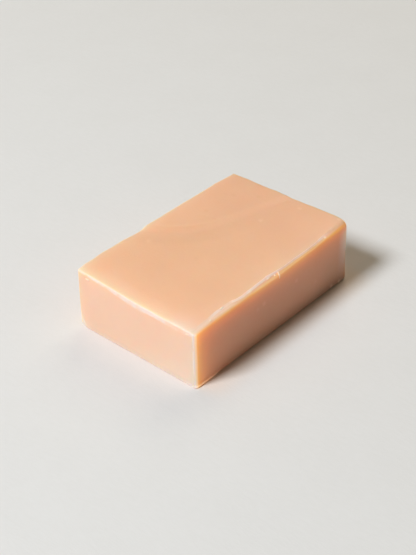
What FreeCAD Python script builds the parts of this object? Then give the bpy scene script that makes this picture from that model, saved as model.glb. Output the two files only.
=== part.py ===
import FreeCAD, Part
import math
import os

# A hand-cut bar of soap, one solid piece, lying on its largest face.
# X runs along the bar, Y across it and Z up, with the origin at the middle of the underside.

# Size of the bar, in millimetres
length = 81.0  # between the two ends
width = 52.5  # between the two long sides
thickness = 23.0  # height of the top at its back left corner

# How far the other corners of the top stand above that one
lift_back_right = -0.2
lift_front_right = 1.2
lift_front_left = -1.1

# Over its whole height the front side leans in this far
front_side_lean = 0.6

# Radius of each upright corner
front_left_radius = 0.9
back_left_radius = 1.0
back_right_radius = 0.8
front_right_radius = 1.6

# The back of the top is crowned between the two ends
crown_rise = 0.5
crown_reach = 16.0  # how far in from the back side

# A low land covers the back right of the top. Its border is an arc and then a straight line
land_start = 30.2  # from the left end to where the border meets the back side
land_start_turn = 65.0  # degrees between the border and the length, at its start
land_end_turn = 17.0  # degrees between its straight part and the length
land_radius = 38.0
land_rise = 0.25
land_ramp = 4.0  # width of the slope up to it
valley_depth = 0.5  # of the shallow valley along its border, where this starts at the back side
valley_end_depth = 0.1  # and where it ends at the right end
valley_width = 8.0

# Worn and trimmed edges
top_bevel = 0.6
bottom_bevel = 0.5
stroke_depth = 0.8  # a shaving stroke along the front edge of the top, deepest at its middle
stroke_length = 58.0
stroke_middle = 38.0  # from the left end

# Corners worn off flat: how far along the length, along the width and up or down the corner is lost
back_left_foot_nick = (1.6, 1.6, 5.0)
front_right_foot_nick = (4.0, 2.2, 3.0)
front_right_top_nick = (3.6, 2.8, 2.8)

# How the cuts are made
pole_step = 2.5  # spacing of the top surface's poles
overshoot = 2.0  # how far the cutting shapes pass the bar

left = -length / 2
right = length / 2
front = -width / 2
back = width / 2
headroom = max(lift_back_right, lift_front_right, 0.0) + crown_rise + land_rise + overshoot


def smooth(value):
    """0 below 0, 1 above 1, and a soft curve between."""
    value = min(max(value, 0.0), 1.0)
    return value * value * (3.0 - 2.0 * value)


def heading(degrees):
    """A unit vector in the plan, turned clockwise from the length."""
    angle = math.radians(-degrees)
    return FreeCAD.Vector(math.cos(angle), math.sin(angle), 0)


def left_of(direction):
    return FreeCAD.Vector(-direction.y, direction.x, 0)


border_start = FreeCAD.Vector(left + land_start, back, 0)
border_centre = border_start + left_of(heading(land_start_turn)) * land_radius
border_line = heading(land_end_turn)
border_bend = border_centre - left_of(border_line) * land_radius


def into_land(x, y):
    """Distance from the land's border, positive on the land."""
    from_bend = FreeCAD.Vector(x, y, 0) - border_bend
    if from_bend.dot(border_line) > 0:
        return from_bend.dot(left_of(border_line))
    return land_radius - (FreeCAD.Vector(x, y, 0) - border_centre).Length


def top_height(x, y):
    """Height of the top surface, which twists a little and has the crown, the land and its valley."""
    along = (x - left) / length
    across = (y - front) / width
    front_lift = lift_front_left * (1 - along) + lift_front_right * along
    back_lift = lift_back_right * along
    height = thickness + front_lift * (1 - across) + back_lift * across

    from_ends = min(max(4 * along * (1 - along), 0.0), 1.0)
    height += crown_rise * smooth(2 * from_ends) * smooth(1 - (back - y) / crown_reach)

    inside = into_land(x, y)
    height += land_rise * smooth(inside / land_ramp)
    share = smooth(1 + inside / valley_width) * smooth(1 - inside / land_ramp)
    depth = valley_depth + (valley_end_depth - valley_depth) * smooth((x - border_start.x) / (right - border_start.x))
    return height - depth * share


def spread(start, end):
    """Evenly spaced values that pass both ends of a side."""
    start -= overshoot
    end += overshoot
    steps = math.ceil((end - start) / pole_step)
    return [start + (end - start) * i / steps for i in range(steps + 1)]


def clamped_knots(poles):
    """Even knots of a cubic with this many poles, and how often each counts."""
    spans = poles - 3
    return list(range(spans + 1)), [4] + [1] * (spans - 1) + [4]


def top_surface():
    """A cubic surface with its poles on the height formula, so it is smooth and never overshoots it."""
    poles = [[FreeCAD.Vector(x, y, top_height(x, y)) for y in spread(front, back)] for x in spread(left, right)]
    x_knots, x_counts = clamped_knots(len(poles))
    y_knots, y_counts = clamped_knots(len(poles[0]))
    surface = Part.BSplineSurface()
    surface.buildFromPolesMultsKnots(poles, x_counts, y_counts, x_knots, y_knots, False, False, 3, 3)
    return surface


def polygon(*corners):
    return Part.Face(Part.makePolygon([*corners, corners[0]]))


def blank():
    """The bar as six flat faces with the lean of its front side, and a top that is too high."""
    rings = []
    for z in (0.0, thickness + headroom):
        y = front + front_side_lean * z / thickness
        plan = [(left, y), (right, y), (right, back), (left, back)]
        rings.append([FreeCAD.Vector(px, py, z) for px, py in plan])
    lower, upper = rings
    faces = [polygon(*reversed(lower)), polygon(*upper)]
    for i in range(4):
        j = (i + 1) % 4
        faces.append(polygon(lower[i], lower[j], upper[j], upper[i]))
    return Part.Solid(Part.Shell(faces))


def round_corner(solid, at_right, at_back, radius):
    """Rounds the upright edge at one corner of the plan."""
    for edge in solid.Edges:
        middle = edge.CenterOfMass
        rise = abs(edge.Vertexes[0].Z - edge.Vertexes[-1].Z)
        if rise > thickness / 2 and (middle.x > 0) == at_right and (middle.y > 0) == at_back:
            return solid.makeFillet(radius, [edge])
    raise ValueError("this corner has no upright edge")


def cut_top(solid):
    waste = top_surface().toShape().extrude(FreeCAD.Vector(0, 0, 2 * headroom + thickness))
    return solid.cut(waste)


def bevel_rim(solid, size, at_top):
    """Bevels every edge that runs round the top, or round the underside."""
    rim = []
    for edge in solid.Edges:
        heights = [vertex.Z for vertex in edge.Vertexes]
        if min(heights) > thickness / 2 if at_top else max(heights) < thickness / 1000:
            rim.append(edge)
    return solid.makeChamfer(size, rim)


def shave_front_edge(solid):
    """A long shallow stroke of a blade along the front edge of the top, cut as part of a very wide cylinder."""
    radius = stroke_length**2 / (8 * stroke_depth) + stroke_depth / 2
    x = left + stroke_middle
    y = front + front_side_lean
    edge_point = FreeCAD.Vector(x, y, top_height(x, y))
    along = FreeCAD.Vector(length, 0, lift_front_right - lift_front_left).normalize()
    across = FreeCAD.Vector(0, 1, 1)
    across = (across - along * across.dot(along)).normalize()
    outward = along.cross(across)
    reach = 4 * stroke_depth + overshoot
    centre = edge_point + outward * (radius - stroke_depth) - across * reach
    return solid.cut(Part.makeCylinder(radius, 2 * reach, centre, across))


def nick_corner(solid, x, y, z, lost):
    """Cuts the corner at x, y, z off along one flat face, losing so much along each of its three edges."""
    corner = FreeCAD.Vector(x, y, z)
    middle = FreeCAD.Vector(0, 0, thickness / 2)
    inward = middle - corner
    legs = [
        FreeCAD.Vector(math.copysign(lost[0], inward.x), 0, 0),
        FreeCAD.Vector(0, math.copysign(lost[1], inward.y), 0),
        FreeCAD.Vector(0, 0, math.copysign(lost[2], inward.z)),
    ]
    outside = corner - (legs[0] + legs[1] + legs[2])
    a, b, c = [outside + leg * 4 for leg in legs]
    shell = Part.Shell([polygon(a, b, c), polygon(outside, b, a), polygon(outside, c, b), polygon(outside, a, c)])
    waste = Part.Solid(shell)
    if waste.Volume < 0:
        waste.reverse()
    return solid.cut(waste)


bar = blank()
bar = round_corner(bar, False, False, front_left_radius)
bar = round_corner(bar, False, True, back_left_radius)
bar = round_corner(bar, True, True, back_right_radius)
bar = round_corner(bar, True, False, front_right_radius)
bar = cut_top(bar)
bar = bevel_rim(bar, bottom_bevel, at_top=False)
bar = bevel_rim(bar, top_bevel, at_top=True)
bar = shave_front_edge(bar)
bar = nick_corner(bar, left, back, 0, back_left_foot_nick)
bar = nick_corner(bar, right, front, 0, front_right_foot_nick)
bar = nick_corner(bar, right, front + front_side_lean, top_height(right, front), front_right_top_nick)
bar = bar.Solids[0]

# The leaning side and the bevels leave the plan a little off the middle
box = bar.optimalBoundingBox()
bar.translate(FreeCAD.Vector(-(box.XMin + box.XMax) / 2, -(box.YMin + box.YMax) / 2, 0))

print("valid", bar.isValid(), "faces", len(bar.Faces), "volume", round(bar.Volume, 1), bar.optimalBoundingBox())
os.makedirs("parts", exist_ok=True)
bar.exportStep("parts/soap_bar.step")
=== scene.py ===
# %% [markdown]
# A bar of soap. It was cut by hand from a slab, so it is a plain block whose faces are nearly flat and whose
# edges were trimmed, knocked and left to dry. Almost all of its look comes from three things: how light goes
# into soap and comes out again a few millimetres away, how its trimmed edges dry out and turn pale, and how
# little irregularities keep the block from looking like a box. The lesson takes them one at a time.

# %% Load the measured block
import math
import random

import bmesh
import bpy
import numpy as np
from mathutils import Matrix, Vector, noise


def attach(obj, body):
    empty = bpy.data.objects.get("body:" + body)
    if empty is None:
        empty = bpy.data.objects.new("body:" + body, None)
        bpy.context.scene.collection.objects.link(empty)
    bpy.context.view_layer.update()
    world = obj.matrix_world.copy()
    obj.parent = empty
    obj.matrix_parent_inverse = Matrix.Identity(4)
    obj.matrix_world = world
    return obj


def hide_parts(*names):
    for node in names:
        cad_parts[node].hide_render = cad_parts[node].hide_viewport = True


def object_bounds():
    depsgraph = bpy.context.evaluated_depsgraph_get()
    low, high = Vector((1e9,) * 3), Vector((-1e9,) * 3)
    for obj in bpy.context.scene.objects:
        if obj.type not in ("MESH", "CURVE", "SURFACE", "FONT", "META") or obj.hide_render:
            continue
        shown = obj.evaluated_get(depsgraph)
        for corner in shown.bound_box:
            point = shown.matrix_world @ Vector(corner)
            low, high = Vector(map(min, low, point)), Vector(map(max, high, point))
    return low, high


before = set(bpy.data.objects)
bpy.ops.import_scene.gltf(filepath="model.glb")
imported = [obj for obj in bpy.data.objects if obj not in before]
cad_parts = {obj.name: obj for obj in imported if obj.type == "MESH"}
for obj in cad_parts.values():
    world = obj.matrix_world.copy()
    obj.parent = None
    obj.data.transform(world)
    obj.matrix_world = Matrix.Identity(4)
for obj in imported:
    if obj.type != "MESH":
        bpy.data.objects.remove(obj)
cad_low, cad_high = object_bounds()
MM = 0.001
half_length = (cad_high.x - cad_low.x) / 2 / MM
half_width = (cad_high.y - cad_low.y) / 2 / MM
highest = cad_high.z / MM
print("block", round(2 * half_length, 2), "x", round(2 * half_width, 2), "x", round(highest, 2), "mm")

# %% [markdown]
# The block starts as a cube that is sliced into a fine grid. A subdivision surface would round the whole bar, and
# a Bevel modifier makes each edge the same from end to end, which a hand-trimmed bar never is. With a grid, every
# vertex can be moved onto a shape that is described by plain rules, so an edge may be wide here and narrow there.
# The slices stand close together near the edges, where the detail is, and further apart in the middle.

# %% Slice a cube into a grid
GRID_CUTS = (170, 112, 58)
EDGE_CROWDING = (0.68, 0.68, 0.6)


def sliced_block(cuts):
    """A cube from -1 to 1 with that many cuts across each axis."""
    block = bmesh.new()
    bmesh.ops.create_cube(block, size=2.0)
    for axis in range(3):
        along = []
        for edge in block.edges:
            reach = edge.verts[1].co - edge.verts[0].co
            if abs(reach[axis]) > 1.9:
                along.append(edge)
        bmesh.ops.subdivide_edges(block, edges=along, cuts=cuts[axis], use_grid_fill=True)
    return block


block = sliced_block(GRID_CUTS)
print("grid", len(block.verts), "vertices", len(block.faces), "faces")

# %% [markdown]
# These helpers draw the soft transitions and the slow wobble of a hand-held blade. They work on whole columns of
# numbers at once, which keeps thousands of vertices quick. A wobble is a chain of random heights, one every few
# millimetres, joined by a smooth curve, and its own seed makes it the same each time the script runs.

# %% Soft steps and wobbles


def smooth(value):
    """0 below 0, 1 above 1, and a soft curve between."""
    value = np.clip(value, 0.0, 1.0)
    return value * value * (3.0 - 2.0 * value)


def bump(value, middle, reach):
    """1 at the middle, falling softly to 0 this far to either side."""
    return smooth(1.0 - np.abs(value - middle) / reach)


def wobble(value, spacing, seed):
    """A smooth random line between -1 and 1 along one direction."""
    draw = random.Random(seed)
    heights = np.array([draw.uniform(-1, 1) for _ in range(int(2 * half_length / spacing) + 8)])
    place = (value + half_length) / spacing + 2.0
    cell = np.clip(np.floor(place).astype(int), 0, len(heights) - 2)
    share = smooth(place - cell)
    return heights[cell] * (1 - share) + heights[cell + 1] * share


def between(corners, across, up):
    """Blends four corner values: low and high across, at the bottom and then at the top."""
    low = corners[0] + (corners[1] - corners[0]) * across
    high = corners[2] + (corners[3] - corners[2]) * across
    return low + (high - low) * up


# %% [markdown]
# Now the six faces. Each is a height or an inset over its own plane, in millimetres. The top is not level: its
# corners stand at different heights, its back is a little crowned, and a shallow valley with a low land behind it
# curves from the back edge to the right end, where a blade was lifted and set down again.

# %% The top and the sides as rules
CORNER_HEIGHT = 23.0
LIFT_BACK_RIGHT = -0.2
LIFT_FRONT_RIGHT = 1.2
LIFT_FRONT_LEFT = -1.1
CROWN_RISE = 0.5
CROWN_REACH = 16.0
LAND_START = 30.2 - half_length
LAND_START_TURN = math.radians(65.0)
LAND_END_TURN = math.radians(17.0)
LAND_RADIUS = 38.0
LAND_RISE = 0.25
LAND_RAMP = 4.0
VALLEY_DEPTH = 0.5
VALLEY_END_DEPTH = 0.1
VALLEY_WIDTH = 8.0
LEFT_SAG = 0.7
LEFT_SAG_REACH = 6.0

land_centre_x = LAND_START + math.sin(LAND_START_TURN) * LAND_RADIUS
land_centre_y = half_width + math.cos(LAND_START_TURN) * LAND_RADIUS
bend_x = land_centre_x - math.sin(LAND_END_TURN) * LAND_RADIUS
bend_y = land_centre_y - math.cos(LAND_END_TURN) * LAND_RADIUS


def into_land(x, y):
    """Distance from the border of the land, positive on it."""
    past_bend = (x - bend_x) * math.cos(LAND_END_TURN) - (y - bend_y) * math.sin(LAND_END_TURN)
    straight = (x - bend_x) * math.sin(LAND_END_TURN) + (y - bend_y) * math.cos(LAND_END_TURN)
    curved = LAND_RADIUS - np.hypot(x - land_centre_x, y - land_centre_y)
    return np.where(past_bend > 0, straight, curved)


def top_height(x, y):
    along = x / (2 * half_length) + 0.5
    across = y / (2 * half_width) + 0.5
    front_lift = LIFT_FRONT_LEFT * (1 - along) + LIFT_FRONT_RIGHT * along
    height = CORNER_HEIGHT + front_lift * (1 - across) + LIFT_BACK_RIGHT * along * across
    from_ends = np.clip(4 * along * (1 - along), 0.0, 1.0)
    height += CROWN_RISE * smooth(2 * from_ends) * smooth(1 - (half_width - y) / CROWN_REACH)
    height -= LEFT_SAG * bump(y, -4.0, 34.0) * smooth(1 - (x + half_length) / LEFT_SAG_REACH)
    inside = into_land(x, y)
    height += LAND_RISE * smooth(inside / LAND_RAMP)
    share = smooth(1 + inside / VALLEY_WIDTH) * smooth(1 - inside / LAND_RAMP)
    fade = smooth((x - LAND_START) / (half_length - LAND_START))
    return height - (VALLEY_DEPTH + (VALLEY_END_DEPTH - VALLEY_DEPTH) * fade) * share


# How far each side stands in from the box, at its corners: front or left and then back or right, low and then high
LEFT_INSETS = (0.30, 0.22, 0.02, 0.20)
FRONT_INSETS = (0.17, 0.06, 0.53, 0.48)
RIGHT_INSETS = (0.02, 0.15, 0.05, 0.10)
BACK_INSETS = (0.10, 0.10, 0.05, 0.05)
FOOT_LIP = 0.22
FOOT_LIP_HEIGHT = 1.6


def side_distances(x, y, z):
    """How far each point lies outside the left, right, front and back side."""
    along = x / (2 * half_length) + 0.5
    across = y / (2 * half_width) + 0.5
    up = z / CORNER_HEIGHT
    near_corner = smooth(1 - np.hypot(x + half_length, y + half_width) / 9.0)
    lip = (FOOT_LIP + 0.12 * near_corner) * smooth(1.35 - z / FOOT_LIP_HEIGHT)
    left = -half_length + between(LEFT_INSETS, across, up) - lip - x
    right = x - half_length + between(RIGHT_INSETS, across, up)
    front = -half_width + between(FRONT_INSETS, along, up) - lip - y
    back = y - half_width + between(BACK_INSETS, along, up)
    return left, right, front, back


print("top from", top_height(np.array(-half_length), np.array(-half_width)).round(2), "mm at the front left")

# %% [markdown]
# An edge between two faces is trimmed by a third plane. Its two legs say how much it takes off each face, and both
# may change along the edge. The front edge of the top was shaved with a long stroke, so it is widest in the middle
# third. The left edge of the top was trimmed steeply. The upright corner at the far right was rubbed round.

# %% Trimmed edges
# Pairs of a place along the bar and a leg there, all in millimetres
FRONT_TRIM_IN = ((-40, 1.8), (-34, 2.2), (-26, 2.6), (-21, 2.6), (-18, 1.6), (-12, 1.5), (-3, 1.95), (5, 1.05),
                 (12, 0.9), (18, 0.8), (24, 1.1), (28, 1.6), (33, 2.2), (40, 2.8))
FRONT_TRIM_DOWN = ((-40, 0.8), (-30, 0.5), (-22, 0.6), (-18, 1.2), (-14, 0.8), (-8, 1.3), (0, 1.75),
                   (8, 1.75), (15, 1.45), (21, 1.55), (26, 1.1), (40, 0.9))
LEFT_TRIM_DOWN = ((-26, 0.9), (-22, 1.4), (-18, 1.7), (-12, 1.4), (-5, 1.5), (1, 1.75), (8, 1.25), (16, 0.8), (26, 0.5))


def leg(table, place):
    """Reads such a table, with straight lines between its places."""
    return np.interp(place, [pair[0] for pair in table], [pair[1] for pair in table])


def front_trim_in(x):
    return leg(FRONT_TRIM_IN, x) + 0.12 * wobble(x, 1.9, 11)


def upright_trim(z):
    """Legs of the near upright corner's trim on the left end and on the front side."""
    return 0.8 + 0.22 * wobble(z, 3.2, 18), 1.4 + 0.1 * wobble(z, 3.1, 20)


def trim(first, second, first_leg, second_leg):
    """Distance outside the plane that takes first_leg off the first face and second_leg off the second."""
    return (first * first_leg + second * second_leg + first_leg * second_leg) / np.hypot(first_leg, second_leg)


def all_distances(x, y, z):
    """The distances from the faces, and from the planes that trim the edges and corners."""
    left, right, front, back = side_distances(x, y, z)
    top = z - top_height(x, y)
    bottom = -z
    front_down = leg(FRONT_TRIM_DOWN, x) + 0.08 * wobble(x, 2.3, 12)
    left_in = 0.22 + 0.08 * wobble(y, 2.7, 13)
    left_down = leg(LEFT_TRIM_DOWN, y) + 0.1 * wobble(y, 3.1, 14)
    back_in = 0.5 + 0.12 * wobble(x, 4.1, 15)
    right_in = 0.55 + 0.15 * wobble(y, 3.3, 16)
    foot = 0.4 + 0.08 * wobble(x + y, 2.9, 17)
    at_near_end = smooth((-24.0 - x) / 12.0)
    front_foot = 0.75 + 0.12 * wobble(x, 4.3, 19) - 0.35 * at_near_end
    upright_left, upright_front = upright_trim(z)
    front_in = front_trim_in(x)
    shoulders = []
    for face, face_leg, side_leg in ((top, front_in, front_down), (left, upright_left, upright_front)):
        shoulders.append(trim(face, front, 0.45 * face_leg, side_leg + 0.6))
        shoulders.append(trim(face, front, 0.2, side_leg + 3.0))
    trims = [
        trim(top, front, front_in, front_down),
        trim(top, left, left_in, left_down),
        trim(top, back, back_in, back_in),
        trim(top, right, right_in, right_in),
        trim(left, front, upright_left, upright_front),
        trim(left, back, 0.8, 0.8),
        trim(right, back, 0.7, 0.7),
        trim(right, front, 0.25, 4.6),
        trim(right, front, 0.35, 0.5),
        trim(left, back, 4.2, 1.0) - 0.12 * z,
    ]
    feet = [trim(left, bottom, 0.5, 0.5), trim(right, bottom, foot, foot), trim(back, bottom, foot, foot)]
    feet.append(trim(front, bottom, front_foot, 0.8 * front_foot + 0.9 * at_near_end))
    corners = [
        (right + front + top + 2.6) / math.sqrt(3),
        (right + front + bottom + 1.8) / math.sqrt(3),
        (left + back + bottom * 2.2 + 2.6) / 2.6,
        (left + front + bottom * 0.4 + 1.0) / 1.5,
        left * 0.3 + front * 0.3 + bottom * 0.9 + 0.55,
    ]
    faces = [top, bottom, left, right, front, back]
    return faces, trims, shoulders + feet + corners


def softest_outside(distances, softness):
    """The largest of several distances, with the crease between two of them softened."""
    stack = np.stack(distances)
    peak = stack.max(axis=0)
    return peak + softness * np.log(np.exp((stack - peak) / softness).sum(axis=0))


print("edge planes", sum(len(group) for group in all_distances(*np.zeros((3, 1)))))

# %% [markdown]
# Each vertex slides along its own line, from a point well inside the bar to its place on the box, and stops where
# it meets the shape. Halving the line thirty times finds that place to a hair's breadth. The lines fan out round
# the edges, so every bevel gets its share of vertices.

# %% Move every vertex onto the shape
CORE_INSET = 3.5
EDGE_SOFTNESS = 0.07
FAR_RIGHT_SOFTNESS = 0.27
FAR_RIGHT_REACH = 9.0
FAR_LEFT_SOFTNESS = 0.14
FAR_LEFT_REACH = 5.0

start = np.empty(3 * len(block.verts))
mesh = bpy.data.meshes.new("soap_grid")
block.to_mesh(mesh)
block.free()
mesh.vertices.foreach_get("co", start)
start = start.reshape(-1, 3)
crowding = np.array(EDGE_CROWDING)
start = start + crowding * np.sin(math.pi * start) / math.pi
outer = start * [half_length, half_width, highest / 2] + [0, 0, highest / 2]
core = np.clip(
    outer,
    [CORE_INSET - half_length, CORE_INSET - half_width, CORE_INSET],
    [half_length - CORE_INSET, half_width - CORE_INSET, highest - CORE_INSET],
)


def outside(points):
    faces, trims, rest = all_distances(*points.T)
    x, y, z = points.T
    at_far_right = smooth(1.0 - np.hypot(half_length - x, half_width + y) / FAR_RIGHT_REACH) * smooth((z + 4.0) / 12.0)
    at_far_left = smooth(1.0 - np.hypot(half_length + x, half_width - y) / FAR_LEFT_REACH)
    softness = EDGE_SOFTNESS + FAR_RIGHT_SOFTNESS * at_far_right + FAR_LEFT_SOFTNESS * at_far_left
    return softest_outside(faces + trims + rest, softness)


near = np.zeros(len(outer))
far = np.ones(len(outer))
for _ in range(30):
    middle = (near + far) / 2
    is_out = outside(core + (outer - core) * middle[:, None]) > 0
    far = np.where(is_out, middle, far)
    near = np.where(is_out, near, middle)
surface = core + (outer - core) * near[:, None]
mesh.vertices.foreach_set("co", (surface * MM).ravel())
mesh.shade_smooth()
mesh.update()
print("surface from", surface.min(axis=0).round(2), "to", surface.max(axis=0).round(2))

# %% [markdown]
# The finish needs to know where the edges are, so a few numbers are kept on every vertex. Two are distances from
# the pale lines that the blade left, at the front of the top and down the near corner. One says how far a vertex
# lies onto the strip trimmed off the left end. Such distances blend evenly between vertices, so a line drawn with
# them can be finer than the grid.

# %% Mark the edges for the finish
faces, trims, rest = all_distances(*surface.T)
x, y, z = surface.T
top, _, left, right, front, back = faces
from_top, from_left, from_front, from_back = -top, -left, -front, -back
LINE_DEPTH = 0.7
# How dry the line along the front edge is, from place to place
FRONT_DRY = ((-40, 0.3), (-33, 0.35), (-30, 0.8), (-25.5, 1.0), (-23, 0.6), (-20, 0.6), (-15, 0.85), (-5, 1.0),
             (0, 1.0), (5, 0.85), (12, 0.9), (17, 0.95), (22, 0.75), (27, 0.65), (31, 0.1), (34, 0.25), (36, 0.0), (40, 0.0))


def keep(name, values, kind="FLOAT", field="value"):
    layer = mesh.attributes.new(name, kind, "POINT")
    layer.data.foreach_set(field, np.asarray(values, dtype=np.float32).ravel())


from_ends = np.minimum(from_left, -right)
near_left = smooth(1.0 - from_left / LINE_DEPTH)
front_dry = leg(FRONT_DRY, x) + 0.15 * wobble(x, 1.3, 21)
keep("front_line", front_trim_in(x) - from_front + from_top - 0.4)
keep("upright_line", from_front - upright_trim(z)[0] + 0.1)
down_the_strip = from_top / (leg(LEFT_TRIM_DOWN, y) + 0.2)
strands = 1.0 - (0.3 + 0.4 * bump(down_the_strip, 0.45, 0.35)) * bump(y, -18.5, 7.0)
gap = 1.0 - 0.8 * bump(y, 21.6, 1.0) - 0.35 * smooth((y - 21.0) / 2.0)
keep("left_strip", trims[1] - np.max(faces, axis=0))
front_dry *= smooth(from_ends / 0.8)
keep("front_dry", front_dry)
keep("left_dry", strands * gap * (0.7 + 0.15 * bump(y, -2.0, 20.0) + 0.28 * wobble(y, 1.4, 22)))
upright_dry = smooth((z - 4.0) / 2.5) * (1.0 - 0.5 * bump(z, 15.6, 1.3)) * (0.88 + 0.12 * wobble(z, 1.6, 23))
upright_dry *= near_left
keep("upright_dry", upright_dry)
print("marks", len(mesh.attributes))

# %% [markdown]
# The tone of the soap is worked out here too, one colour for each vertex, as shares of red, green and blue light
# that it gives back, with painted light and shade mixed in. The left end is paler than the top. Near an edge less of
# the light is lost on its way, so the tone there is painted lighter, and red travels furthest. The scattering model of
# the finish lets light out at its first chance. Real soap mirrors much of it back inside, so more of it wanders to the
# next edge and comes out on the shaded side as an orange band. That missing part is painted as a second, faint
# colour, which the finish gives off as a glow.

# %% The tones of the soap, with painted light and shade
TOP_TONE = (0.865, 0.510, 0.310)
END_TONE = (0.895, 0.585, 0.417)
SIDE_TONE = (0.82, 0.405, 0.245)
FACE_BLEND = 0.25


def part(tone, share):
    """A colour on each vertex, as strong as its share."""
    return np.outer(share, tone)


def fade(depth, reach):
    return np.exp(-np.maximum(depth, 0) / reach)


def shown(*distances):
    """How much each face shows at a vertex, with a soft change from one face to the next."""
    stack = np.exp((np.stack(distances) - np.max(distances, axis=0)) / FACE_BLEND)
    return stack / stack.sum(axis=0)


everywhere = np.ones(len(x))
top_tones = part(TOP_TONE, everywhere)
# Painted light: the top is lighter near its edges and the front left corner, most near the lit left end, standing in
# for light scattered in from the faces beside it.
top_tones += part((0.13, 0.04, 0.025), fade(from_left, 8.0)) + part((0.0, 0.18, 0.18), fade(from_left, 3.2))
top_tones += part((0.05, 0.060, 0.060), fade(from_front, 3.5)) + part((0.05, 0.04, 0.02), fade(from_back, 3.5))
top_tones += part((0.0, 0.11, 0.19), fade(from_back, 0.9)) - part((0.025, 0.03, 0.015), smooth((x + 5.0) / 30.0))
top_tones += part((0.0, 0.0, 0.06), fade(np.hypot(from_left, from_front), 6.0))
top_tones += part((0.0, 0.05, 0.13), fade(from_left, 2.0) * bump(y, -18.5, 7.0))
end_tones = part(END_TONE, everywhere)
# Painted light: the left end is redder just below its top edge and a little lighter near its back edge, as light
# scattered out near an edge.
end_tones += part((0.06, 0.0, -0.07), fade(from_top, 1.4)) + part((0.03, 0.02, 0.0), fade(from_back, 4.0))
end_tones += part((0.03, 0.09, 0.10), smooth((34.0 - from_front - z) / 34.0)) + part((0.10, 0.03, 0.03), fade(z, 2.5))
# Painted shade: the shaded side is darker towards its foot and towards its lower right end.
side_tones = part(SIDE_TONE, 1.0 - 0.22 * fade(z, 2.5) - 0.16 * smooth((x - 20.0) / 14.0) * smooth(1.3 - z / 15.0))
side_tones += part((0.0, 0.025, 0.04), fade(z, 4.0)) - part((0.0, 0.02, 0.045), smooth((x - 14.0) / 12.0) * fade(from_top, 9.0))
# Painted light: an orange band, lighter and redder, runs below the top edge and beside the left end of the shaded side.
side_tones += part((0.16, 0.10, -0.04), fade(np.minimum(from_top, from_left) - 0.5, 2.0))
side_tones -= part((0.06, 0.01, 0.0), smooth((x - 10.0) / 16.0) * fade(z, 6.0))
top_tones = np.minimum(top_tones, (0.98, 0.70, 0.575))
top_share, left_share, *side_shares = shown(top, left, front, right, back)
side_share = np.sum(side_shares, axis=0)
tones = top_tones * top_share[:, None] + end_tones * left_share[:, None] + side_tones * side_share[:, None]
# Painted glow, given off by the finish as emission: an orange band on the shaded side below the top edge and beside the
# left end, the foot of the left end, and the pale dry lines, where soap would get more light than the scattering model
# gives.
past_middle = smooth((x + 22.0) / 16.0) * (1.0 - 0.55 * smooth((x - 8.0) / 20.0))
below_trim = from_top - 0.4 - 0.8 * past_middle
painted_glow = part((0.26, 0.03, 0.0), side_share * fade(below_trim, 3.8))
painted_glow += part((0.03, 0.09, 0.02), side_share * (1.1 + 0.5 * past_middle) * fade(below_trim, 1.2))
painted_glow += part((0.04, 0.03, 0.0), side_share * bump(x, 14.0, 18.0) * fade(from_top - 0.9, 2.2))
painted_glow += part((0.32, 0.075, 0.01), side_share * fade(from_left - 0.8, 5.5))
painted_glow += part((0.03, 0.12, 0.02), side_share * fade(from_left - 1.2, 1.8))
painted_glow += part((0.16, 0.04, 0.03), left_share * fade(z, 0.8))
along_line = smooth((0.8 - np.abs(front_trim_in(x) - from_front + from_top - 0.4)) / 0.4)
painted_glow += part((0.10, 0.055, 0.045), along_line * front_dry * smooth((x + 26.0) / 8.0))
down_line = smooth((0.6 - np.abs(from_front - upright_trim(z)[0] + 0.1)) / 0.3)
painted_glow += part((0.05, 0.07, 0.07), down_line * upright_dry)


def on_trim(distance, softness=0.25):
    """1 where this trimming plane is the surface, and 0 where a face is."""
    return smooth((distance - np.max(faces, axis=0)) / softness)


tones *= 1.0 - part((0.05, 0.05, -0.08), on_trim(trims[1]))
# Painted light: the facet of the near upright corner is made lighter and glows, as light from the lit left end would
# come through it.
painted_facet_light = on_trim(trims[4]) * smooth((from_top - 0.2) / 0.6) * (1.0 - 0.6 * smooth((from_left - 0.5) / 1.2))
tones += part((0.12, 0.12, 0.20), painted_facet_light)
painted_glow += part((0.03, 0.08, 0.13), painted_facet_light)
# Painted glow on the shaded facet along the front edge.
front_facet = on_trim(trims[0]) * smooth((front_trim_in(x) - from_front) / 0.6)
painted_glow += part((0.05, 0.075, 0.085), front_facet * smooth((34.0 - x) / 7.0))
# Painted sheen: the far upright corner pales towards grey, as a rounded edge would mirror the bright floor beyond it.
painted_rim_sheen = smooth((6.5 + right) / 6.0) * smooth(z / 18.0) * smooth((from_top - 1.0) / 4.0)
painted_rim_sheen *= side_shares[0] + side_shares[1] * fade(from_front, 1.6)
tones += part((0.02, 0.30, 0.36), painted_rim_sheen)
far_nick = on_trim(trims[9], 0.3)
tones += part((0.04, 0.11, 0.13), far_nick)
near_foot_corner = smooth(1.5 - np.hypot(from_left / 9.0, from_front / 6.0))
# The lip at the near foot corner is paler soap, and it also gets a painted glow on the shaded side and on the left end.
pale_lip_and_painted_light = smooth((1.3 - z) / 0.5) * near_foot_corner * (0.8 + 0.2 * wobble(x - y, 0.9, 31))
tones += part((0.06, 0.07, 0.11), pale_lip_and_painted_light)
painted_glow += part((0.20, 0.16, 0.10), side_share * pale_lip_and_painted_light) + part((0.04, 0.03, 0.03), left_share * pale_lip_and_painted_light)

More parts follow.
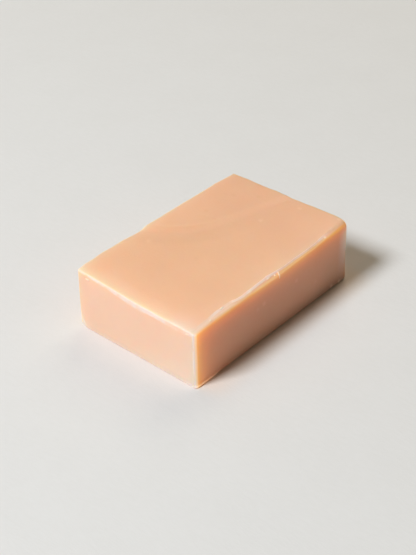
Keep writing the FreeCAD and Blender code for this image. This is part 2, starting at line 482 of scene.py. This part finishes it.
# Specks on the top and the front side: two places there, the reach and how much lighter, in millimetres
TOP_SPECKS = ((21.6, -1.7, 0.9, 0.06), (36.0, -7.6, 0.8, 0.05), (13.7, 16.3, 1.1, -0.025), (28.0, 15.9, 1.3, -0.02),
              (32.8, 8.3, 1.2, -0.02), (-9.8, 0.3, 1.0, -0.02), (-12.8, 19.2, 1.2, 0.04), (39.0, -22.4, 0.8, 0.08))
FRONT_SPECKS = ((-6.1, 14.8, 1.0, 0.07), (-9.4, 14.2, 0.8, 0.04), (11.1, 14.7, 0.9, 0.06), (31.4, 1.3, 0.9, 0.2),
                (36.0, 1.0, 0.8, 0.2), (22.0, 8.5, 0.8, 0.03))
for speck_x, second, reach, lift in TOP_SPECKS:
    tones += part((lift, lift, lift), top_share * smooth(1.3 - np.hypot(x - speck_x, y - second) / reach))
for speck_x, second, reach, lift in FRONT_SPECKS:
    tones += part((lift, lift, lift), side_shares[0] * smooth(1.3 - np.hypot(x - speck_x, z - second) / reach))


def keep_colour(name, colours):
    keep(name, np.column_stack([np.clip(colours, 0, 1), everywhere]), "FLOAT_COLOR", "color")


keep_colour("tone", tones)
keep_colour("painted_glow", painted_glow)
soap = bpy.data.objects.new("soap_body", mesh)
bpy.context.scene.collection.objects.link(soap)
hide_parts("soap_bar")
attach(soap, "root")
print("triangles", 2 * len(mesh.polygons))

# %% [markdown]
# A finish is a small recipe of sums, so it reads best as sums. This class wraps a socket of the node tree, and
# ordinary Python signs between two of them add the matching node. Every other node comes from one method that
# takes its type, its settings and the values or links of its sockets.

# %% Write shader sums as Python


class Wire:
    """One socket of a material, on which sums can be written."""

    def __init__(self, tree, socket):
        self.tree = tree
        self.socket = socket

    def node(self, kind, settings=(), output=0, **inputs):
        """Adds a node. Settings are set first, and then inputs, named with _ for a space or in0, in1 by number."""
        made = self.tree.nodes.new(kind)
        for name, value in dict(settings).items():
            setattr(made, name, value)
        for name, value in inputs.items():
            key = int(name[2:]) if name[:2] == "in" and name[2:].isdigit() else name.replace("_", " ")
            if isinstance(value, Wire):
                self.tree.links.new(value.socket, made.inputs[key])
            else:
                made.inputs[key].default_value = value
        return Wire(self.tree, made.outputs[output])

    def math(self, operation, first, second=0.0):
        return self.node("ShaderNodeMath", {"operation": operation}, in0=first, in1=second)

    def __add__(self, other):
        return self.math("ADD", self, other)

    def __sub__(self, other):
        return self.math("SUBTRACT", self, other)

    def __rsub__(self, other):
        return self.math("SUBTRACT", other, self)

    def __mul__(self, other):
        return self.math("MULTIPLY", self, other)

    def __truediv__(self, other):
        return self.math("DIVIDE", self, other)

    __radd__ = __add__
    __rmul__ = __mul__

    def ramp(self, low, high, to_low=0.0, to_high=1.0):
        """Goes softly from to_low to to_high while the value goes from low to high."""
        return self.node(
            "ShaderNodeMapRange",
            {"interpolation_type": "SMOOTHSTEP"},
            Value=self, From_Min=low, From_Max=high, To_Min=to_low, To_Max=to_high,
        )

    def colour(self, first, second, blend="MIX"):
        """Blends two colours, the value being the share of the second."""
        settings = {"data_type": "RGBA", "blend_type": blend}
        return self.node("ShaderNodeMix", settings, output=2, Factor=self, in6=first, in7=second)


def new_finish(name):
    """A material with only an output, and a wire to start from."""
    finish = bpy.data.materials.new(name)
    finish.use_nodes = True
    finish.node_tree.nodes.clear()
    output = finish.node_tree.nodes.new("ShaderNodeOutputMaterial")
    return finish, Wire(finish.node_tree, output.inputs["Surface"])


def connect(wire, output):
    wire.tree.links.new(wire.socket, output.socket)


def named(wire, attribute, output=2):
    """A number kept on the vertices, or a colour with output 0."""
    return wire.node("ShaderNodeAttribute", {"attribute_name": attribute}, output=output)


def tone(red, green, blue):
    """A colour given as it looks on screen, from 0 to 255."""
    linear = []
    for part in (red, green, blue):
        share = part / 255
        linear.append(share / 12.92 if share <= 0.04045 else ((share + 0.055) / 1.055) ** 2.4)
    return (*linear, 1.0)


print("peach tone", [round(part, 3) for part in tone(234, 182, 146)])

# %% [markdown]
# Soap is a crowd of tiny crystals in a clear paste. Light enters, scatters for a few millimetres and leaves, red
# the furthest. Subsurface scattering does just that, and gives part of the glowing orange line where the lit top meets
# the shaded side; the rest is a painted glow, which both surfaces give off as emission. Where an edge has dried out,
# the paste is gone and only pale crystals are left: there light hardly goes in. So the finish is two surfaces, moist
# soap and dry soap, mixed by a mask.

# %% The soap finish
soap_finish, surface_wire = new_finish("soap")
place = surface_wire.node("ShaderNodeTexCoord", output=3)


def cloud(scale, detail=2.0, roughness=0.5, stretch=(1, 1, 1)):
    """Soft noise from 0 to 1, its scale in marks for each metre."""
    stretched = place.node("ShaderNodeMapping", Vector=place, Scale=stretch)
    return place.node("ShaderNodeTexNoise", Vector=stretched, Scale=scale, Detail=detail, Roughness=roughness)


mottle = cloud(60, 3.0)
grain = cloud(900, 2.0, 0.6)
flecks = cloud(1400, 3.0, 0.65)
light_marks = mottle.ramp(0.3, 0.7).colour((0.975, 0.965, 0.96, 1.0), (1.0, 1.0, 1.0, 1.0))
moist_tone = place.node("ShaderNodeMix", {"data_type": "RGBA", "blend_type": "MULTIPLY"}, output=2, Factor=1.0,
                        in6=named(place, "tone", 0), in7=light_marks)
relief = grain.node("ShaderNodeBump", Strength=0.12, Distance=0.0004, Height=grain)
moist = place.node(
    "ShaderNodeBsdfPrincipled",
    {"subsurface_method": "RANDOM_WALK"},
    Base_Color=moist_tone,
    Roughness=grain.ramp(0.3, 0.7, 0.34, 0.46),
    IOR=1.46,
    Subsurface_Weight=1.0,
    Subsurface_Radius=(0.0060, 0.0038, 0.0024),
    Subsurface_Scale=1.0,
    Normal=relief,
    Emission_Color=named(place, "painted_glow", 0),
    Emission_Strength=1.0,
)


def pale_line(name, dry_name, half_width):
    """A soft line where the named distance is near 0, as strong as it has dried."""
    distance = named(place, name)
    return distance.math("ABSOLUTE", distance).ramp(half_width, half_width - 0.25) * named(place, dry_name)


front_share = pale_line("front_line", "front_dry", 0.7)
upright_share = pale_line("upright_line", "upright_dry", 0.46)
left_share = named(place, "left_strip").ramp(-0.14, 0.06) * named(place, "left_dry")
line_share = front_share.math("MAXIMUM", front_share, upright_share)
dry_share = line_share.math("MAXIMUM", line_share, left_share) * flecks.ramp(0.25, 0.6, 0.65, 1.0)
dry = place.node(
    "ShaderNodeBsdfPrincipled",
    {"subsurface_method": "RANDOM_WALK"},
    Base_Color=left_share.math("MAXIMUM", left_share, upright_share).colour(tone(250, 218, 203), tone(243, 219, 206)),
    Roughness=0.7,
    IOR=1.4,
    Subsurface_Weight=0.7,
    Subsurface_Radius=(0.0012, 0.0010, 0.0008),
    Subsurface_Scale=1.0,
    Emission_Color=named(place, "painted_glow", 0),
    Emission_Strength=1.0,
)
connect(place.node("ShaderNodeMixShader", in0=dry_share.ramp(0.0, 1.0), in1=moist, in2=dry), surface_wire)
soap.data.materials.append(soap_finish)
print("nodes in the soap finish", len(soap_finish.node_tree.nodes))

# %% [markdown]
# The blade left small things behind: crumbs on the cut edges, a flake on the left end, and one curl that still
# hangs from the front edge. A crumb is a little ball that is squashed, turned, roughened with noise and half sunk
# in the bar. Painted spots would do from far away, but only real crumbs catch the light and cast a shadow.

# %% Crumbs and a curl
# For each crumb a place above or beside the bar, the way to the bar's surface, and the three sizes and the turn
DOWN = Vector((0, 0, -1))
INWARD = Vector((0, 1, 0))
RIGHTWARD = Vector((1, 0, 0))
CRUMBS = (
    ((-25.0, -23.4, 24.0), DOWN, (1.1, 0.35, 0.2), 8),
    ((-31.6, -24.6, 24.0), DOWN, (0.6, 0.3, 0.2), 10),
    ((-11.9, -24.7, 24.5), DOWN, (0.6, 0.3, 0.2), 15),
    ((-2.4, -24.5, 24.5), DOWN, (1.2, 0.34, 0.2), 5),
    ((0.2, -24.9, 24.5), DOWN, (0.5, 0.4, 0.2), 40),
    ((27.6, -24.9, 25.0), DOWN, (0.6, 0.3, 0.2), 70),
    ((-41.0, 21.2, 21.0), RIGHTWARD, (0.16, 0.95, 0.34), -8),
    ((-41.0, -22.6, 20.6), RIGHTWARD, (0.14, 0.7, 0.26), -14),
)
ROUGHNESS_OF_CRUMBS = 0.3


def touch(place, way):
    """Where a straight line from a place outside the bar first meets it."""
    away, reached = 0.0, 6.0
    for _ in range(30):
        middle = (away + reached) / 2
        if outside(np.array([place + way * middle]))[0] > 0:
            away = middle
        else:
            reached = middle
    return place + way * away


crumbs = bmesh.new()
for spot, way, sizes, turn in CRUMBS:
    axis = "Z" if way == DOWN else "X"
    placed = Matrix.Translation(touch(Vector(spot), way) * MM) @ Matrix.Rotation(math.radians(turn), 4, axis)
    ball = bmesh.ops.create_icosphere(crumbs, subdivisions=2, radius=1.0)["verts"]
    for vertex in ball:
        vertex.co *= 1 + ROUGHNESS_OF_CRUMBS * noise.noise(vertex.co * 1.7 + Vector(spot))
    bmesh.ops.scale(crumbs, vec=Vector(sizes) * MM, verts=ball)
    bmesh.ops.transform(crumbs, matrix=placed, verts=ball)

CURL_SIZE = Vector((0.6, 0.26, 2.8))
first_of_curl = len(crumbs.verts)
bmesh.ops.create_cube(crumbs, size=1.0)
crumbs.verts.ensure_lookup_table()
tall = []
for vertex in crumbs.verts[first_of_curl:first_of_curl + 8]:
    for edge in vertex.link_edges:
        if edge.other_vert(vertex).co.z - vertex.co.z > 0.9:
            tall.append(edge)
bmesh.ops.subdivide_edges(crumbs, edges=tall, cuts=9)
crumbs.verts.ensure_lookup_table()
curl = crumbs.verts[first_of_curl:]
hook = touch(Vector((1.8, -27.0, 21.5)), INWARD)
for vertex in curl:
    drop = 0.5 - vertex.co.z
    vertex.co.x = vertex.co.x * (1 - 0.55 * drop) + 0.35 * drop * drop
    vertex.co.y += 1.7 * (1 - drop) ** 4 - 0.3 * math.sin(math.pi * drop)
    vertex.co = Vector([a * b for a, b in zip(vertex.co, CURL_SIZE)])
bmesh.ops.translate(crumbs, vec=hook, verts=curl)
bmesh.ops.scale(crumbs, vec=(MM, MM, MM), verts=curl)
for vertex in crumbs.verts:
    for axis in range(3):
        vertex.co[axis] = min(max(vertex.co[axis], cad_low[axis]), cad_high[axis])
bmesh.ops.recalc_face_normals(crumbs, faces=crumbs.faces)
crumb_mesh = bpy.data.meshes.new("crumbs")
crumbs.to_mesh(crumb_mesh)
crumbs.free()
crumb_mesh.shade_smooth()
shavings = bpy.data.objects.new("soap_shavings", crumb_mesh)
bpy.context.scene.collection.objects.link(shavings)
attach(shavings, "root")
shaving_finish, shaving_wire = new_finish("dried_soap")
place = shaving_wire.node("ShaderNodeTexCoord", output=3)
dried = cloud(1500, 3.0).ramp(0.3, 0.7)
connect(
    place.node(
        "ShaderNodeBsdfPrincipled",
        {"subsurface_method": "RANDOM_WALK"},
        Base_Color=dried.colour(tone(246, 203, 168), tone(253, 222, 204)),
        Roughness=0.6,
        IOR=1.4,
        Subsurface_Weight=0.8,
        Subsurface_Radius=(0.0012, 0.0009, 0.0007),
        Subsurface_Scale=1.0,
        Normal=dried.node("ShaderNodeBump", Strength=0.3, Distance=0.0002, Height=dried),
        # Painted glow: the crumbs and the curl give off a faint light, so their shaded halves stay pale.
        Emission_Color=(0.19, 0.14, 0.10, 1.0),
        Emission_Strength=1.0,
    ),
    shaving_wire,
)
shavings.data.materials.append(shaving_finish)
print("crumbs", len(CRUMBS), "faces", len(crumb_mesh.polygons))

# %% [markdown]
# The stage is a pale paper floor, with a painted warm light in the shade in front of the bar and a painted shade beside
# the left end. One broad window-like lamp stands to the back left, high enough to light the top and the left end, and
# an even dim sky fills the shaded side.

# %% Floor, light and sky
FLOOR_SIZE = 3.0
floor_mesh = bpy.data.meshes.new("floor")
floor_shape = bmesh.new()
bmesh.ops.create_grid(floor_shape, x_segments=1, y_segments=1, size=FLOOR_SIZE / 2)
floor_shape.to_mesh(floor_mesh)
floor_shape.free()
floor = bpy.data.objects.new("floor", floor_mesh)
bpy.context.scene.collection.objects.link(floor)
floor_finish, floor_wire = new_finish("paper")
place = floor_wire.node("ShaderNodeTexCoord", output=3)
along_bar = place.node("ShaderNodeSeparateXYZ", output=0, Vector=place)
across_bar = place.node("ShaderNodeSeparateXYZ", output=1, Vector=place)
# Painted light and shade on the floor: a warm, lighter patch in the bar's shade in front of it, and a darker patch
# beside the left end.
in_front = across_bar.ramp(-0.038, -0.026) * across_bar.ramp(0.0, -0.020)
painted_warm_light_beside_bar = in_front * along_bar.ramp(-0.042, -0.034) * along_bar.ramp(0.050, 0.040)
painted_shade_beside_end = along_bar.ramp(-0.056, -0.042) * along_bar.ramp(-0.036, -0.040) * across_bar.ramp(0.034, 0.012) * across_bar.ramp(-0.036, -0.020)
fibres = cloud(700, 4.0, 0.7, (1.0, 0.35, 1.0))
patches = cloud(45, 3.0)
paper_tone = (fibres * 0.6 + patches * 0.4).ramp(0.3, 0.7).colour((0.752, 0.741, 0.720, 1.0), (0.770, 0.760, 0.741, 1.0))
paper = place.node(
    "ShaderNodeBsdfPrincipled",
    Base_Color=painted_warm_light_beside_bar.colour(painted_shade_beside_end.colour(paper_tone, (0.740, 0.729, 0.707, 1.0)), (0.84, 0.74, 0.65, 1.0)),
    Roughness=0.9,
    Specular_IOR_Level=0.1,
    Normal=fibres.node("ShaderNodeBump", Strength=0.25, Distance=0.0003, Height=fibres),
)
connect(paper, floor_wire)
floor.data.materials.append(floor_finish)


def soft_lamp(name, direction, distance, size, watts, colour):
    """A square lamp that far away in one direction, facing the bar."""
    lamp = bpy.data.lights.new(name, "AREA")
    lamp.color = colour
    lamp.shape = "SQUARE"
    lamp.size = size
    lamp.energy = watts
    holder = bpy.data.objects.new(name, lamp)
    toward = Vector(direction).normalized()
    holder.location = toward * distance
    holder.rotation_mode = "QUATERNION"
    holder.rotation_quaternion = toward.to_track_quat("Z", "Y")
    bpy.context.scene.collection.objects.link(holder)


soft_lamp("window", (-0.65, 0.19, 0.74), 1.9, 0.5, 37.2, (0.89, 0.94, 1.0))
soft_lamp("white_wall", (0.66, 0.26, 0.70), 1.6, 0.9, 6.8, (1.0, 0.88, 0.68))

sky = bpy.data.worlds.new("sky")
sky.use_nodes = True
sky.node_tree.nodes["Background"].inputs["Color"].default_value = (0.114, 0.101, 0.079, 1.0)
bpy.context.scene.world = sky
print("lamps", len(bpy.data.lights))

# %% [markdown]
# The camera looks down at the front left corner through a short telephoto lens, from where the bar's edges run
# together just as they do on a table in front of you.

# %% Camera
CAMERA_TURN = math.radians(-49.23)
CAMERA_RISE = math.radians(35.53)
CAMERA_DISTANCE = 448.4 * MM
CAMERA_TARGET = Vector((-2.0, 1.99, 10.0)) * MM
LENS = 85.0
SENSOR = 36.0

camera_data = bpy.data.cameras.new("camera")
camera_data.lens = LENS
camera_data.sensor_width = SENSOR
camera_data.clip_start = 0.01
camera = bpy.data.objects.new("camera", camera_data)
camera_back = Vector((
    math.sin(CAMERA_TURN) * math.cos(CAMERA_RISE),
    -math.cos(CAMERA_TURN) * math.cos(CAMERA_RISE),
    math.sin(CAMERA_RISE),
))
camera.location = CAMERA_TARGET + camera_back * CAMERA_DISTANCE
camera.rotation_mode = "QUATERNION"
camera.rotation_quaternion = (-camera_back).to_track_quat("-Z", "Y")
bpy.context.scene.collection.objects.link(camera)
bpy.context.scene.camera = camera
bpy.context.scene.view_settings.view_transform = "Standard"
